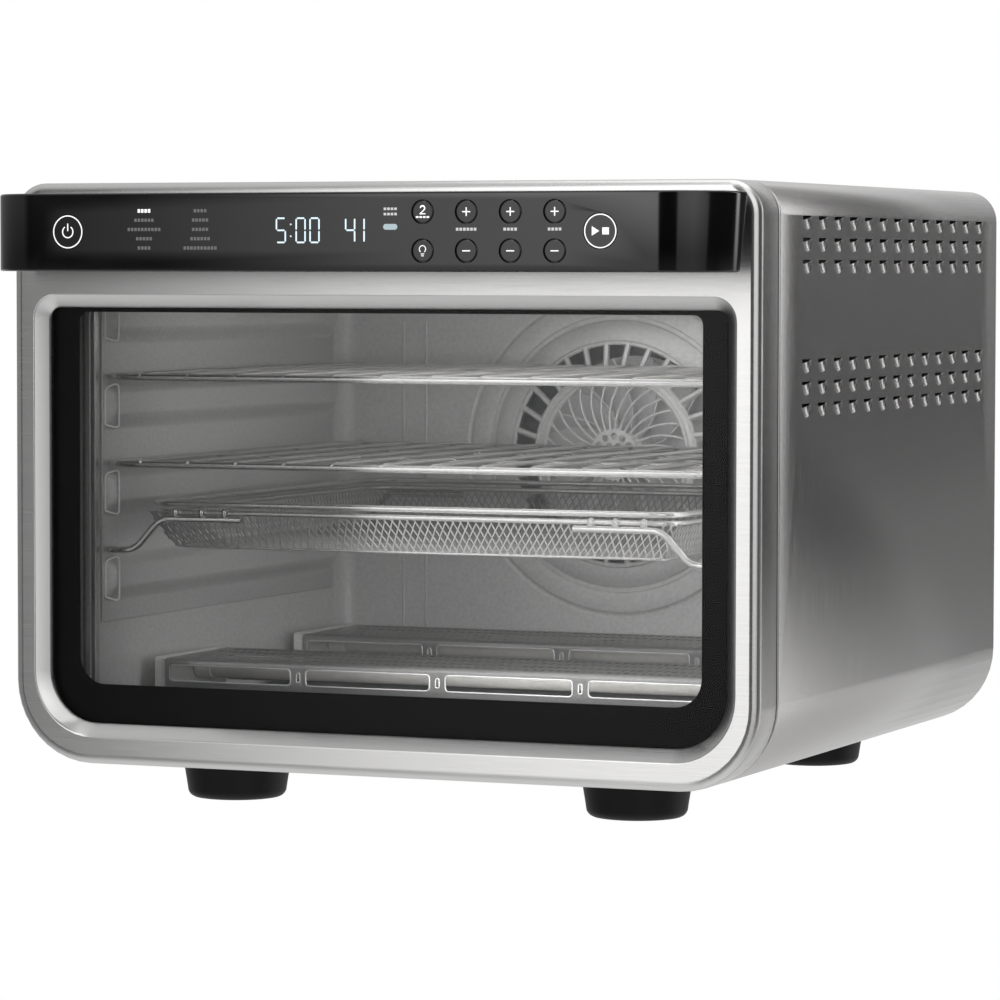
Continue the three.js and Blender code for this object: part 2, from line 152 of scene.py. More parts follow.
def vary_color(texture, shader, dark, light):
    ramp = add_node(texture.id_data, "ShaderNodeValToRGB")
    for element, position, color in zip(ramp.color_ramp.elements, NOISE_RANGE, (dark, light)):
        element.position = position
        element.color = (*color, 1)
    link(texture, "Fac", ramp, "Fac")
    link(ramp, "Color", shader, "Base Color")


def bump(texture, shader, strength, distance):
    node = add_node(texture.id_data, "ShaderNodeBump", Strength=strength, Distance=distance)
    link(texture, "Fac", node, "Height")
    link(node, "Normal", shader, "Normal")


def shade(color, factor):
    return tuple(min(1.0, c * factor) for c in color)


def brushed(name, color, roughness, stretch, smear, depth=0.12):
    """Brushed metal: stretch is low along the grain, and smear is the way reflections blur, across it."""
    material, shader = new_material(name, color, roughness, 1.0, Anisotropic=1.0)
    tree = material.node_tree
    across = add_node(tree, "ShaderNodeCombineXYZ", **dict(zip("XYZ", smear)))
    link(across, "Vector", shader, "Tangent")
    grain = noise(tree, stretch, 4.0)
    vary_color(grain, shader, shade(color, 0.95), shade(color, 1.05))
    vary_roughness(grain, shader, roughness - 0.03, roughness + 0.04)
    bump(grain, shader, depth, 0.00006)
    return material


def speckled(name, color, roughness, metallic=0.0, size=900, depth=0.1, spread=0.08, **sockets):
    """A moulded, cast or rolled surface with a fine even speckle."""
    material, shader = new_material(name, color, roughness, metallic, **sockets)
    tree = material.node_tree
    speckle = noise(tree, (size, size, size), 2.0)
    vary_color(speckle, shader, shade(color, 1 - spread), shade(color, 1 + spread))
    vary_roughness(noise(tree, CLOUD), shader, max(0.0, roughness - 0.04), roughness + 0.05)
    bump(speckle, shader, depth, 0.0001)
    return material


def see_through(name, tint, gloss, reflect):
    """Flat glass: light goes straight through, and the rest is a mirror that grows with the angle."""
    material = bpy.data.materials.new(name)
    material.use_nodes = True
    tree = material.node_tree
    tree.nodes.clear()
    clear = add_node(tree, "ShaderNodeBsdfTransparent", Color=(*tint, 1))
    mirror = add_node(tree, "ShaderNodeBsdfGlossy", Roughness=gloss)
    angle = add_node(tree, "ShaderNodeFresnel", IOR=reflect)
    mix = add_node(tree, "ShaderNodeMixShader")
    output = add_node(tree, "ShaderNodeOutputMaterial")
    link(angle, "Fac", mix, "Fac")
    link(clear, "BSDF", mix, 1)
    link(mirror, "BSDF", mix, 2)
    link(mix, "Shader", output, "Surface")
    return material


def glowing(name, color, strength):
    return new_material(name, color, 0.4, Emission_Color=(*color, 1), Emission_Strength=strength)[0]


SIDE_STEEL = brushed("steel_side", (0.56, 0.55, 0.545), 0.16, (2600, 2600, 30), (0, 1, 0.05), 0.3)
RIB_STEEL = speckled("rib_steel", (0.62, 0.62, 0.615), 0.42, 0.5, 500, 0.04)
GUARD_STEEL = speckled("guard_steel", (0.42, 0.42, 0.415), 0.36, 0.88, 600, 0.05)
# A near-white copy of the liner's steel, used as a painted highlight on the ribs' front ends.
RIB_PAINTED_HIGHLIGHT = speckled("rib_painted_highlight", (0.92, 0.92, 0.91), 0.35, 0.05, 600, 0.05)
BRIGHT_STEEL = speckled("bright_steel", (0.78, 0.78, 0.77), 0.35, 0.45, 600, 0.05)
MESH_WIRE = speckled("mesh_wire", (0.42, 0.42, 0.415), 0.36, 0.87, 700, 0.04, 0.04)
FRIT = speckled("frit_black", (0.004, 0.004, 0.004), 0.5, 0.0, 900, 0.01, 0.1, Specular_IOR_Level=0.1)
CERAMIC = speckled("ceramic", (0.82, 0.8, 0.75), 0.6, 0.0, 1200, 0.12)
INNER_GLASS = see_through("inner_glass", (0.96, 0.96, 0.96), 0.03, 1.25)
# Every mark glows. The display's marks are lit from behind; on the printed key symbols and key labels the
# glow is painted light over white and grey print.
WHITE_LIT_AND_PAINTED_GLOW = glowing("mark_white_lit_and_painted_glow", (0.9, 0.9, 0.9), 0.75)
GREY_LIT_AND_PAINTED_GLOW = glowing("mark_grey_lit_and_painted_glow", (0.6, 0.6, 0.6), 0.55)
DIM_MARK = glowing("mark_dim", (0.14, 0.14, 0.14), 0.5)
BLUE_MARK = glowing("mark_display", (0.66, 0.8, 0.88), 0.8)
PILL_MARK = glowing("mark_lamp", (0.36, 0.45, 0.48), 0.7)

MATERIAL_OF_SLOT = {
    "brushed_steel": brushed("steel_front", (0.7, 0.695, 0.69), 0.21, (30, 2600, 2600), (0, 0.05, 1), 0.08),
    "liner_steel": speckled("liner_steel", (0.62, 0.62, 0.615), 0.5, 0.45, 500, 0.04),
    "chrome_wire": speckled("chrome_wire", (0.72, 0.72, 0.71), 0.22, 0.94, 700, 0.04, 0.04),
    "zinc_steel": speckled("zinc_sheet", (0.5, 0.51, 0.52), 0.42, 0.95, 160, 0.05, 0.14),
    "black_gloss": speckled("gloss_black", (0.003, 0.003, 0.003), 0.08, 0.0, 400, 0.01, 0.1, IOR=1.6),
    "black_plastic": speckled("moulded_black", (0.02, 0.02, 0.02), 0.55, 0.0, 1400, 0.3, 0.15),
    "black_glass": see_through("outer_glass", (0.95, 0.95, 0.95), 0.02, 1.2),
    "clear_glass": see_through("lamp_lens", (0.95, 0.93, 0.88), 0.08, 1.5),
    "quartz": speckled("quartz_tube", (0.86, 0.84, 0.8), 0.22, 0.0, 300, 0.03, 0.05, Coat_Weight=0.5),
    "rubber": speckled(
        "foot_rubber", (0.004, 0.004, 0.004), 0.5, 0.0, 1100, 0.15, 0.12, Specular_IOR_Level=0.3
    ),
    "silicone": speckled("seal_silicone", (0.06, 0.06, 0.058), 0.6, 0.0, 900, 0.2, 0.1),
    "circuit_board": speckled("circuit_board", (0.02, 0.11, 0.05), 0.45, 0.0, 350, 0.15, 0.35),
    "display": speckled("display_window", (0.012, 0.013, 0.015), 0.12, 0.0, 500, 0.01),
    "aluminium": speckled("aluminium", (0.72, 0.72, 0.72), 0.42, 0.6, 600, 0.08),
}


def dress_cad_nodes():
    for row in frame["record"]["subparts"]:
        mesh = frame["nodes"][row["node"]].data
        mesh.materials.clear()
        mesh.materials.append(MATERIAL_OF_SLOT[row["material_slot"]])


dress_cad_nodes()


# --- Outlines ---

def arc(cx, cy, rx, ry, start, end, steps):
    angles = [radians(start + (end - start) * i / steps) for i in range(steps + 1)]
    return [(cx + rx * cos(a), cy + ry * sin(a)) for a in angles]


def circle(cx, cy, radius, steps=32):
    return arc(cx, cy, radius, radius, 0, 360, steps)[:-1]


def rounded(x0, x1, z0, z1, top, bottom, steps=8):
    """A rectangle with round corners, anticlockwise from its bottom right corner."""
    return [
        *arc(x1 - bottom, z0 + bottom, bottom, bottom, -90, 0, steps),
        *arc(x1 - top, z1 - top, top, top, 0, 90, steps),
        *arc(x0 + top, z1 - top, top, top, 90, 180, steps),
        *arc(x0 + bottom, z0 + bottom, bottom, bottom, 180, 270, steps),
    ]


def pill(x, z, half_width, half_height, radius, steps=4):
    return rounded(x - half_width, x + half_width, z - half_height, z + half_height, radius, radius, steps)


def fillet(points, radius, steps=5):
    """A 3-D path with its inner corners rounded."""
    path = [Vector(points[0])]
    for before, corner, after in zip(points, points[1:], points[2:]):
        corner = Vector(corner)
        start = corner + (Vector(before) - corner).normalized() * radius
        end = corner + (Vector(after) - corner).normalized() * radius
        for i in range(steps + 1):
            t = i / steps
            path.append(start * (1 - t) ** 2 + corner * 2 * t * (1 - t) + end * t**2)
    return [*path, Vector(points[-1])]


def at_depth(points, depth):
    return [(x, depth, z) for x, z in points]


def inside(low, high, inset, top, bottom, steps=8):
    """The rounded rectangle in x and z between two corners, drawn in by inset."""
    return rounded(low.x + inset, high.x - inset, low.z + inset, high.z - inset, top, bottom, steps)


def stack(outline, steps):
    """Loops of one outline, for (inset, depth) steps."""
    return [at_depth(outline(inset), depth) for inset, depth in steps]


def edge_steps(radius, steps=5):
    """(inset, depth) pairs round a quarter edge, from its outer side to its flat face."""
    turns = [radians(90 * i / steps) for i in range(steps + 1)]
    return [(radius * (1 - cos(t)), radius * (1 - sin(t))) for t in turns]


def flat(depth):
    return lambda x, z: (x, depth, z)


class Shape:
    """Vertices and faces in millimetres, gathered before they become one mesh."""

    def __init__(self):
        self.vertices = []
        self.faces = []

    def add(self, vertices, faces):
        start = len(self.vertices)
        self.vertices += [tuple(v) for v in vertices]
        self.faces += [tuple(start + i for i in face) for face in faces]

    def rings(self, loops, first_cap=False, last_cap=False, skip=(), closed=True):
        """A skin over loops of equal length. skip holds the steps round a loop that stay open."""
        size = len(loops[0])
        around = [i for i in range(size if closed else size - 1) if i not in skip]
        faces = []
        for row in range(0, (len(loops) - 1) * size, size):
            for i in around:
                j = (i + 1) % size
                faces.append((row + i, row + j, row + size + j, row + size + i))
        if first_cap:
            faces.append(tuple(reversed(range(size))))
        if last_cap:
            faces.append(tuple(range((len(loops) - 1) * size, len(loops) * size)))
        self.add([p for loop in loops for p in loop], faces)

    def plate(self, outer, holes, place):
        """A flat sheet with holes. place turns a 2-D point into a 3-D one."""
        loops = [[Vector((u, v, 0)) for u, v in loop] for loop in (outer, *holes)]
        self.add([place(p.x, p.y) for loop in loops for p in loop], tessellate_polygon(loops))

    def panel(self, outer, holes, depth, thickness):
        """A sheet across the depth axis with real walls in its holes and round its edge."""
        self.plate(outer, holes, flat(depth))
        self.plate(outer, holes, flat(depth + thickness))
        for loop in (outer, *holes):
            self.rings([at_depth(loop, depth), at_depth(loop, depth + thickness)])

    def tube(self, points, radius, sides=8, closed=False):
        points = [Vector(p) for p in points]
        count = len(points)
        loops = []
        normal = None
        for i, point in enumerate(points):
            before = points[i - 1] if (i or closed) else point
            after = points[(i + 1) % count] if (i < count - 1 or closed) else point
            along = (after - before).normalized()
            if normal is None:
                normal = along.orthogonal()
            normal = (normal - along * normal.dot(along)).normalized()
            other = along.cross(normal)
            turns = [2 * pi * (k + 0.5) / sides for k in range(sides)]
            loops.append([point + (normal * cos(a) + other * sin(a)) * radius for a in turns])
        if closed:
            self.rings([*loops, loops[0]])
        else:
            self.rings(loops, True, True)

    def lathe(self, profile, place, steps=40):
        """A turned body: profile is (radius, height), and place turns (a, b, height) into a 3-D point."""
        loops = [[place(a, b, height) for a, b in circle(0, 0, radius, steps)] for radius, height in profile]
        self.rings(loops, True, True)

    def block(self, low, high, radius=0.6, steps=3):
        """A box with all its edges rounded."""
        (x0, y0, z0), (x1, y1, z1) = low, high
        edge = edge_steps(radius, steps)
        levels = [(inset, y0 + depth) for inset, depth in reversed(edge)]
        levels += [(inset, y1 - depth) for inset, depth in edge]
        loops = []
        for i, y in levels:
            corner = max(radius * 1.01 - i, 0.02)
            loops.append(at_depth(rounded(x0 + i, x1 - i, z0 + i, z1 - i, corner, corner, steps), y))
        self.rings(loops, True, True)


def along_x(y, z):
    return lambda a, b, height: (height, y + a, z + b)


def along_y(x, z):
    return lambda a, b, height: (x + a, height, z + b)


def along_z(x, y):
    return lambda a, b, height: (x + a, y + b, height)


def make(shape, name, body, slot, replaces=(), sharp=35, material=None):
    """One piece of the visual model. It wears its slot's own material unless another is given."""
    mesh = bpy.data.meshes.new(name)
    mesh.from_pydata([(x * MM, y * MM + DOOR_Y, z * MM) for x, y, z in shape.vertices], [], shape.faces)
    work = bmesh.new()
    work.from_mesh(mesh)
    bmesh.ops.remove_doubles(work, verts=work.verts, dist=1e-6)
    bmesh.ops.recalc_face_normals(work, faces=work.faces)
    work.to_mesh(mesh)
    work.free()
    mesh.shade_smooth()
    mesh.set_sharp_from_angle(angle=radians(sharp))
    mesh.materials.append(material or MATERIAL_OF_SLOT[slot])
    piece = add_object(name, mesh)
    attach(piece, body)
    if replaces:
        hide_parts(*replaces)
    return piece


# --- Case ---

CASE_LOW, CASE_HIGH = span("outer_housing")
DOOR_LOW, DOOR_HIGH = span("door_frame")
BODY_STEPS = 10
TOP_RADIUS = 18
BOTTOM_RADIUS = 45
RIGHT_WALL = BODY_STEPS  # steps round body_outline that are the straight walls and the flat bottom
LEFT_WALL = 3 * BODY_STEPS + 2
FLAT_BOTTOM = 4 * BODY_STEPS + 3
FLAT_TOP = CASE_HIGH.z - TOP_RADIUS

LOUVRE_COLUMNS = 13
LOUVRE_ROWS = (319.2, 307.6, 296.0, 243.6, 231.9, 220.2)
LOUVRE_ENDS = (73.8, 387.2)
LOUVRE_WIDTH = 14.5
LOUVRE_HEIGHT = 7.4
LOUVRE_DEPTH = 2.3
LOUVRE_DROP = 2.2  # how far the scoop's rim falls below the hole's straight edge at its deepest


def body_outline(inset):
    top, bottom = max(TOP_RADIUS - inset, 1), max(BOTTOM_RADIUS - inset, 1)
    return inside(CASE_LOW, CASE_HIGH, inset, top, bottom, BODY_STEPS)


def louvre_edge(share, y, z):
    """Half an ellipse hung from the louvre's rim: share is 1 at the hole's edge and 0 at the bottom."""
    top = z + LOUVRE_HEIGHT / 2
    rim = top - LOUVRE_DROP * sqrt(1 - share**2)
    height = max(0.05, rim - (top - LOUVRE_HEIGHT * share))
    return arc(y, rim, share * LOUVRE_WIDTH / 2, height, 180, 360, 12)


def add_side_wall(skin, side, front, back):
    """A flat wall with a pressed scoop behind each louvre's straight edge."""
    wall = CASE_HIGH.x * side
    low = CASE_LOW.z + BOTTOM_RADIUS
    edge = [(front, low), (back, low), (back, FLAT_TOP), (front, FLAT_TOP)]
    first, last = LOUVRE_ENDS
    step = (last - first) / (LOUVRE_COLUMNS - 1)
    places = [(first + column * step, z) for z in LOUVRE_ROWS for column in range(LOUVRE_COLUMNS)]
    skin.plate(edge, [louvre_edge(1, y, z) for y, z in places], lambda y, z: (wall, y, z))
    for y, z in places:
        loops = []
        for share in (1, 0.97, 0.9, 0.76, 0.55, 0.3):
            sink = LOUVRE_DEPTH * sqrt(1 - share**2)
            loops.append([(wall - side * sink, a, b) for a, b in louvre_edge(share, y, z)])
        skin.rings(loops, closed=False)
        skin.add(loops[-1], [tuple(range(len(loops[-1])))])


def make_housing():
    front, back = CASE_LOW.y, CASE_HIGH.y
    lip = 0.8
    thickness = 1.2
    hem = [(thickness, 4), (thickness, lip), (lip, 0), (lip / 3, lip / 3), (0, lip)]
    walls = {FLAT_BOTTOM, RIGHT_WALL, LEFT_WALL}
    skin = Shape()
    skin.rings(stack(body_outline, [(inset, front + depth) for inset, depth in hem]), skip={FLAT_BOTTOM})
    skin.rings(stack(body_outline, [(0, front + lip), (0, back - lip)]), skip=walls)
    rear = [(inset, back - depth) for inset, depth in reversed(hem)]
    skin.rings(stack(body_outline, rear), skip={FLAT_BOTTOM})
    for side in (-1, 1):
        add_side_wall(skin, side, front + lip, back - lip)
    make(skin, "case_wrap", "oven", "brushed_steel", ["outer_housing"], 30, material=SIDE_STEEL)

    low, high = span("bottom_plate")
    bottom = Shape()
    half = CASE_HIGH.x - BOTTOM_RADIUS - 0.4
    slots = [pill(x, y, 14, 1.5, 1.4, 3) for x in (-60, 0, 60) for y in range(150, 331, 12)]
    edge = [(-half, low.y), (half, low.y), (half, high.y), (-half, high.y)]
    for height in (low.z, high.z):
        bottom.plate(edge, slots, lambda x, y, height=height: (x, y, height))
    for loop in (edge, *slots):
        bottom.rings([[(x, y, height) for x, y in loop] for height in (low.z, high.z)])
    make(bottom, "base_sheet", "oven", "zinc_steel", ["bottom_plate"])


def make_back():
    low, high = span("rear_panel")
    inset = 1.5
    steps = [(inset, low.y - 6), (inset, high.y - 1.4), (inset + 0.6, high.y - 0.4), (inset + 1.6, high.y)]
    panel = Shape()
    panel.rings(stack(body_outline, steps))
    panel.plate(body_outline(inset + 1.6), [], flat(high.y))
    make(panel, "rear_sheet", "oven", "zinc_steel", ["rear_panel"])

    low, high = span("rear_cover")
    cover = Shape()
    radius = 18
    soft = 5

    def outline(inset):
        return inside(low, high, inset, radius - inset, radius - inset)

    flange = [(-6, low.y + 0.4), (-6, low.y + 2), (0, low.y + 2)]
    edges = [(inset, high.y - depth) for inset, depth in edge_steps(soft)]
    cover.rings(stack(outline, [*flange, *edges]))
    heights = range(int(low.z) + 40, int(high.z) - 30, 13)
    vents = [pill(x, z, 44, 2.4, 2.3) for x in (-72, 72) for z in heights]
    cover.plate(outline(soft), vents, flat(high.y))
    for vent in vents:
        cover.rings([at_depth(vent, high.y), at_depth(vent, high.y - 3)])
    cover.plate(outline(soft + 1), [], flat(high.y - 7))
    make(cover, "rear_hood", "oven", "black_plastic", ["rear_cover"])

    bottom = span("cord_gland")[0].z
    gland = Shape()
    profile = [(4, 4), (4.2, -0.6), (7, -0.8), (10.4, 0.6), (11, 1.6), (11, 3)]
    gland.lathe([(size, bottom + rise) for size, rise in profile], along_z(*centre("cord_gland").xy))
    make(gland, "cord_bush", "oven", "rubber", ["cord_gland"])


FOOT_TAPER = 3.2


def make_feet():
    for corner in ("front_left", "front_right", "rear_left", "rear_right"):
        low, high = span(f"foot_{corner}")
        x, y = centre(f"foot_{corner}").xy
        top = (high.x - low.x) / 2
        base = top - FOOT_TAPER
        rounding = [(base - inset, low.z + rise) for inset, rise in reversed(edge_steps(5))]
        sides = [(base + 0.6, low.z + 9), (top - 0.9, high.z - 4), (top, high.z)]
        foot = Shape()
        foot.lathe([(base - 9, low.z + 1.2), (base - 8, low.z), *rounding, *sides], along_z(x, y), 56)
        make(foot, f"foot_pad_{corner}", "oven", "rubber", [f"foot_{corner}"])


# A domed cross-head screw on its washer: radius, and height out of the sheet.
SCREW = [(4.8, 0), (4.8, 0.5), (3.6, 0.6), (3.348, 1.3), (2.16, 1.9), (1.008, 1.95), (0.72, 1.0)]


def make_screws():
    screws = Shape()
    back = span("rear_panel")[1].y
    half, low, high = CASE_HIGH.x - 14, CASE_LOW.z + 26, CASE_HIGH.z - 12
    behind = [(-half, 180), (half, 180), (-half + 4, high), (half - 4, high)]
    behind += [(-150, low), (150, low), (0, high), (0, low)]
    for x, z in behind:
        screws.lathe([(radius, back + height) for radius, height in SCREW], along_y(x, z), 20)
    for x, y in ((-150, 60), (150, 60), (-150, 395), (150, 395), (0, 60), (0, 395)):
        screws.lathe([(radius, CASE_LOW.z - height) for radius, height in SCREW], along_z(x, y), 20)
    make(screws, "case_screws", "oven", "zinc_steel")


# --- Cavity ---

SIDES = (("left", -1), ("right", 1))
CAVITY_LOW, CAVITY_HIGH = span("cavity_liner")
CAVITY_SHEET = 1
CAVITY_RADIUS = 12
CAVITY_BACK = CAVITY_HIGH.y - CAVITY_SHEET
FAN_Z = centre("fan_grille").z
FAN_STAMP = 100  # radius of the disc stamped in the back wall
FAN_STEPS = 72


def cavity_outline(inset):
    radius = max(CAVITY_RADIUS - inset, 2)
    return inside(CAVITY_LOW, CAVITY_HIGH, CAVITY_SHEET + inset, radius, radius, 5)


def fan_ring(radius, depth):
    return at_depth(circle(0, FAN_Z, radius, FAN_STEPS), depth)


def make_cavity():
    liner = Shape()
    corner = 13
    bend = [(inset, CAVITY_BACK - depth) for inset, depth in edge_steps(corner, 6)]
    liner.rings(stack(cavity_outline, [(0, CAVITY_LOW.y), *bend]))
    edge = circle(0, FAN_Z, FAN_STAMP, FAN_STEPS)
    liner.plate(cavity_outline(corner), [edge], flat(CAVITY_BACK))
    stamp = [(FAN_STAMP, 0), (99.2, 0.9), (98.2, 1.1), (97, 0.5), (96, -0.9)]
    stamp += [(94, -1.4), (86, -1.6), (84.5, -1.3), (83.5, 0.2), (80, 0.4)]
    liner.rings([fan_ring(radius, CAVITY_BACK + depth) for radius, depth in stamp])
    make(liner, "cavity_walls", "oven", "liner_steel", ["cavity_liner"], 40)

    beads = Shape()
    floor = CAVITY_LOW.z + 14
    for x in (-127.5, -142.5):
        beads.tube([(x, CAVITY_BACK - 0.2, z) for z in (floor, CAVITY_HIGH.z - 24)], 0.8, 8)
    make(beads, "back_wall_beads", "oven", "liner_steel")

    low, high = span("front_frame")
    mouth = 184.5

    def opening(inset):
        return rounded(-mouth + inset, mouth - inset, 48 + inset, 282 - inset, 10, 10, BODY_STEPS)

    outside = stack(body_outline, [(1.5, high.y + 5), (1.5, low.y + 0.6), (2.1, low.y)])
    mouth_steps = [(-1.6, low.y), (-0.5, low.y + 0.4), (0, low.y + 1.6), (0, high.y + 3)]
    face = Shape()
    face.rings([*outside, *stack(opening, mouth_steps)])
    make(face, "front_flange", "oven", "brushed_steel", ["front_frame"])


RIB_DRAW = 4.4  # how far a rib's ends lean in on their way to its face
RIB_SLOPE_BELOW = 10
RIB_SLOPE_ABOVE = 7


def make_rack_supports():
    for name, side in SIDES:
        low, high = span(f"rack_support_{name}")
        wall = side * max(abs(low.x), abs(high.x))
        reach = side * min(abs(low.x), abs(high.x))
        foot = wall - side
        front, back = low.y, high.y
        panel = Shape()
        panel.block((min(wall, foot), front - 3, low.z), (max(wall, foot), back + 3, high.z + 13), 0.4, 2)
        ends = Shape()
        pitch, height, lowest = 48.1, 27.6, low.z + 10.3
        for rib in range(4):
            z0 = lowest + rib * pitch
            z1 = z0 + height
            levels = []
            for share in (0, 0.06, 0.25, 0.5, 0.75, 0.94, 1):
                rise = (1 - cos(pi * share)) / 2
                draw = RIB_DRAW * share
                low_edge, high_edge = z0 + RIB_SLOPE_BELOW * share, z1 - RIB_SLOPE_ABOVE * share
                edge = rounded(front + draw, back - draw, low_edge, high_edge, 4, 4, 4)
                levels.append([(foot + (reach - foot) * rise, y, z) for y, z in edge])
            panel.rings(levels, last_cap=True)
            # The beads round each rib's front end are the ribs' own steel coloured near white: a painted
            # highlight.
            root, tip = (foot - side * 0.4, front - 0.2), (reach - side * 0.3, front + RIB_DRAW)
            corners = [(*root, z0 + 3.5), (*tip, z0 + 1), (*tip, z1 - 1), (*root, z1 - 3.5)]
            ends.tube(fillet([*corners, corners[0]], 3, 4), 0.55, 6)
        make(panel, f"shelf_ribs_{name}", "oven", "liner_steel", [f"rack_support_{name}"], 45)
        make(ends, f"shelf_rib_painted_highlights_{name}", "oven", "liner_steel", material=RIB_PAINTED_HIGHLIGHT)


def grille_depth(radius):
    """The grille's dome: it stands proud of the back wall towards its middle."""
    return CAVITY_BACK - 2.5 - 6.5 * (1 - (radius / 74) ** 2)


def grille_point(radius, turn):
    angle = radians(turn)
    return (radius * cos(angle), grille_depth(radius), FAN_Z + radius * sin(angle))


def make_fan():
    grille = Shape()
    profile = [(81, 0.8), (81, -1.2), (79.6, -2), (70, -3.2), (68.4, -3.0)]
    grille.rings([fan_ring(radius, CAVITY_BACK + depth) for radius, depth in profile])
    for radius, thickness in ((67.4, 1.5), (51.5, 1.5), (46.5, 1.7)):
        ring = [grille_point(radius, 360 * i / FAN_STEPS) for i in range(FAN_STEPS)]
        grille.tube(ring, thickness, 8, True)
    grille.rings([fan_ring(radius, grille_depth(radius) - 0.8) for radius in (52.5, 49, 45.8)])
    bars = 30
    shares = (0, 0.2, 0.4, 0.6, 0.8, 1)
    for bar in range(bars):
        turn = 360 * bar / bars
        outer = [grille_point(67, turn), grille_point(60, turn + 0.5), grille_point(52, turn + 1.5)]
        grille.tube(outer, 1.9, 6)
        spoke = [grille_point(46 - 32.5 * t, turn + 16 * sin(t * pi / 2)) for t in shares]
        grille.tube(spoke, 0.85, 6)
    hub = circle(0, FAN_Z, 15.5, 36)
    holes = [(0, 0)]
    for ring, count in ((1, 6), (2, 12)):
        holes += [(5.6 * ring * x, 5.6 * ring * z) for x, z in circle(0, 0, 1, count)]
    grille.panel(hub, [circle(x, FAN_Z + z, 2.1, 12) for x, z in holes], grille_depth(14) - 0.8, 1.2)
    make(grille, "fan_guard", "oven", "liner_steel", ["fan_grille"], 40, material=RIB_STEEL)

    blades = Shape()
    axle_end = span("fan_blade")[1].y
    front, depth = 368, 20
    back = front + depth
    count = 12
    for blade in range(count):
        turn = 2 * pi * blade / count
        loops = []
        for radius in (12, 28, 44, 58):
            lead = turn + radius * 0.011
            section = [(lead, front), (lead + 0.02, front), (lead + 0.22, back), (lead + 0.2, back)]
            loops.append([(radius * cos(a), y, FAN_Z + radius * sin(a)) for a, y in section])
        blades.rings(loops, True, True)
    hub = [(3, front - 3), (9, front - 2.4), (13, front), (13, back), (4, back), (4, axle_end)]
    blades.lathe(hub, along_y(0, FAN_Z))
    blades.lathe([(12, back), (59, back), (59, back + 1), (12, back + 1)], along_y(0, FAN_Z), 48)
    make(blades, "fan_wheel", "fan", "aluminium", ["fan_blade"])


# --- Heaters ---

def make_guards():
    bend = 2.4
    pitch, middle = 84.6, 67
    windows = [pill(x * pitch, middle, 37.6, 4.5, 2.2) for x in (-1.5, -0.5, 0.5, 1.5)]
    slots = [pill(x * pitch, middle - 0.1, 1.1, 2.6, 1) for x in (-1, 0, 1)]
    for name in ("front", "rear"):
        low, high = span(f"heater_guard_{name}")
        guard = Shape()
        face = [(low.x, low.z + 2), (high.x, low.z + 2), (high.x, high.z - bend), (low.x, high.z - bend)]
        for y, inner in ((low.y, 1), (high.y, -1)):
            guard.plate(face, [*windows, *slots], flat(y))
            for window in windows:
                guard.rings([at_depth(window, y), at_depth(window, y + inner * 1.6)])
            hem = [(y + inner * inset, low.z + rise) for inset, rise in ((0, 2), (0.5, 0.6), (2, 0), (6, 0))]
            curve = [(y + inner * inset, high.z - drop) for inset, drop in edge_steps(bend)]
            for strip in (hem, curve):
                guard.rings([[(x, a, b) for a, b in strip] for x in (low.x, high.x)], closed=False)
        y0, y1 = low.y + bend, high.y - bend
        top = [(low.x, y0), (high.x, y0), (high.x, y1), (low.x, y1)]
        step = 4.9
        columns = range(int((high.x - low.x - 20) / step))
        holes = [
            pill(low.x + 9 + step * (column + row % 2 / 2), low.y + back, 1.25, 4.5, 1.2, 2)
            for row, back in enumerate((12, 30, 52, 70))
            for column in columns
        ]
        guard.plate(top, holes, lambda x, y: (x, y, high.z))
        make(guard, f"guard_{name}", "oven", "liner_steel", [f"heater_guard_{name}"], material=GUARD_STEEL)
        rims = Shape()
        for loop in (*windows, *slots):
            rims.tube(at_depth(loop, low.y - 0.1), 0.42, 6, True)
        make(rims, f"guard_rims_{name}", "oven", "liner_steel", material=RIB_STEEL)


def barrel(radius, start, end, inset, length):
    """A turned rod's profile with both of its ends bevelled."""
    return [(radius - inset, start), (radius, start + length), (radius, end - length), (radius - inset, end)]


def make_tubes():
    cap = 11
    for name in ("lower_front", "lower_rear", "upper_front", "upper_middle", "upper_rear"):
        low, high = span(f"heater_{name}")
        axis = along_x(*centre(f"heater_{name}").yz)
        radius = (high.z - low.z) / 2
        tube = Shape()
        tube.lathe(barrel(radius, low.x + cap, high.x - cap, 0.6, 1), axis, 32)
        make(tube, f"quartz_{name}", "oven", "quartz", [f"heater_{name}"])
        ends = Shape()
        for start, end in ((low.x, low.x + cap), (high.x - cap, high.x)):
            ends.lathe(barrel(radius, start, end, 1, 0.8), axis, 24)
        make(ends, f"heater_caps_{name}", "oven", "quartz", material=CERAMIC)

    for name, side in SIDES:
        node = f"heater_bracket_{name}"
        low, high = span(node)
        bracket = Shape()
        bracket.block((low.x, low.y, low.z), (high.x, high.y, low.z + 3), 0.8, 2)
        inner = min(abs(low.x), abs(high.x))
        for y in (85, 268):
            x0, x1 = sorted((side * inner, side * (inner + 7.5)))
            bracket.block((x0, y + 2, low.z + 2), (x1, y + 80, high.z), 1.4, 3)
        make(bracket, f"heater_end_{name}", "oven", "zinc_steel", [node], material=BRIGHT_STEEL)


